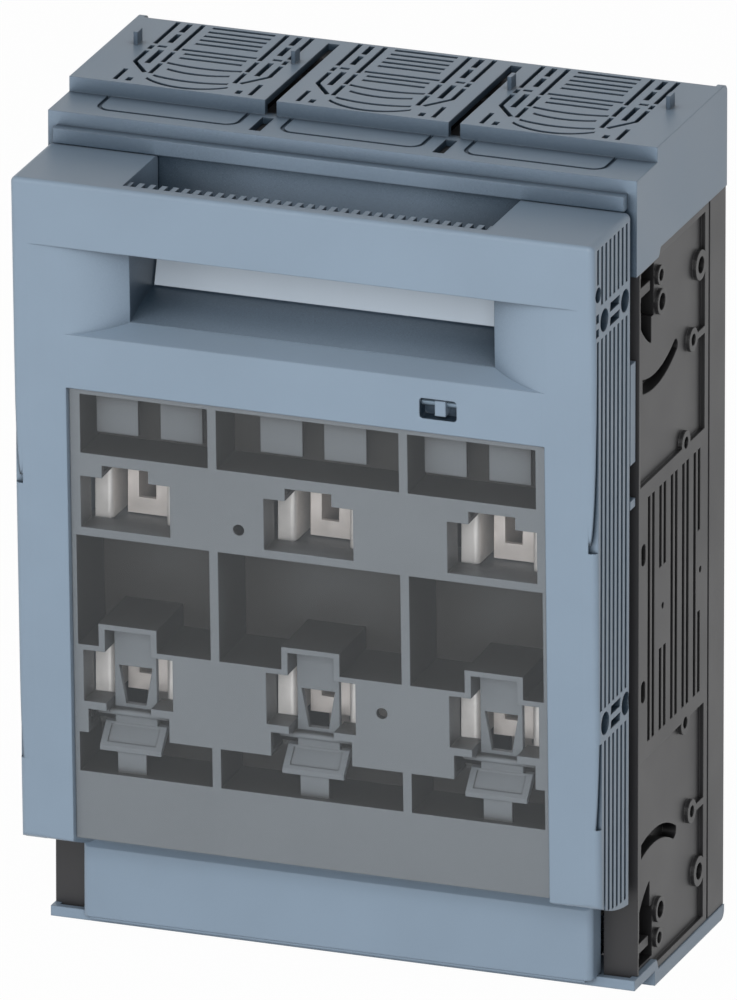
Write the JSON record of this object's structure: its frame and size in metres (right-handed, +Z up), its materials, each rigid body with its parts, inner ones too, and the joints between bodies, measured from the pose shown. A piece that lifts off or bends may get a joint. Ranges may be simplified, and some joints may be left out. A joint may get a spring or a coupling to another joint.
{
  "type": "fuse switch disconnector",
  "caption": "Fuse switch disconnector with slotted terminal covers and a hinged front handle unit that holds the fuse carrier behind a clear window.",
  "frame": {"origin": "centre of the four mounting holes, on the back plane", "axes": "+X to the right seen from the front, +Y to the back towards the mounting plate, +Z up"},
  "size_m": [0.21, 0.13, 0.3042],
  "materials": {
    "black_moulding": "matte black moulding, fine grain",
    "blue_moulding": "satin blue-grey moulding",
    "grey_moulding": "matte dark grey moulding",
    "silvered_copper": "silver-plated copper",
    "spring_steel": "bright spring steel",
    "steel_plate": "plain sheet steel",
    "plated_steel": "zinc-plated steel",
    "clear_pane": "clear, slightly tinted plastic pane",
    "label_strip": "satin light grey strip"
  },
  "bodies": {
    "base": {"rear_frame": "black_moulding", "base_housing": "black_moulding", "top_terminal_cover": "blue_moulding", "bottom_terminal_cover": "blue_moulding", "upper_contact_1": "silvered_copper", "upper_contact_2": "silvered_copper", "upper_contact_3": "silvered_copper", "lower_contact_1": "silvered_copper", "lower_contact_2": "silvered_copper", "lower_contact_3": "silvered_copper", "upper_clip_1": "spring_steel", "upper_clip_2": "spring_steel", "upper_clip_3": "spring_steel", "lower_clip_1": "spring_steel", "lower_clip_2": "spring_steel", "lower_clip_3": "spring_steel", "arc_plates_1": "steel_plate", "arc_plates_2": "steel_plate", "arc_plates_3": "steel_plate", "terminal_bolts": "plated_steel", "terminal_washers": "plated_steel", "contact_screws": "plated_steel", "hinge_pin_left": "plated_steel", "hinge_pin_right": "plated_steel", "housing_screws": "plated_steel"},
    "handle": {"handle_frame": "blue_moulding", "inspection_window": "clear_pane", "fuse_carrier": "grey_moulding", "label_plate": "label_strip", "lock_rod": "plated_steel", "carrier_screws": "plated_steel"},
    "lock": {"lock_slide": "blue_moulding"},
    "release_1": {"fuse_release_1": "grey_moulding"},
    "release_2": {"fuse_release_2": "grey_moulding"},
    "release_3": {"fuse_release_3": "grey_moulding"}
  },
  "joints": [
    {"name": "handle_hinge", "type": "hinge", "parent": "base", "child": "handle", "pos_m": [0, -0.097, -0.108], "axis": [1, 0, 0], "range_deg": [0, 64]},
    {"name": "lock_slide_joint", "type": "slide", "parent": "handle", "child": "lock", "axis": [1, 0, 0], "range_m": [-0.0025, 0.0025]},
    {"name": "fuse_release_slide_1", "type": "slide", "parent": "handle", "child": "release_1", "axis": [0, 0, -1], "range_m": [0, 0.0018]},
    {"name": "fuse_release_slide_2", "type": "slide", "parent": "handle", "child": "release_2", "axis": [0, 0, -1], "range_m": [0, 0.0018]},
    {"name": "fuse_release_slide_3", "type": "slide", "parent": "handle", "child": "release_3", "axis": [0, 0, -1], "range_m": [0, 0.0018]}
  ]
}
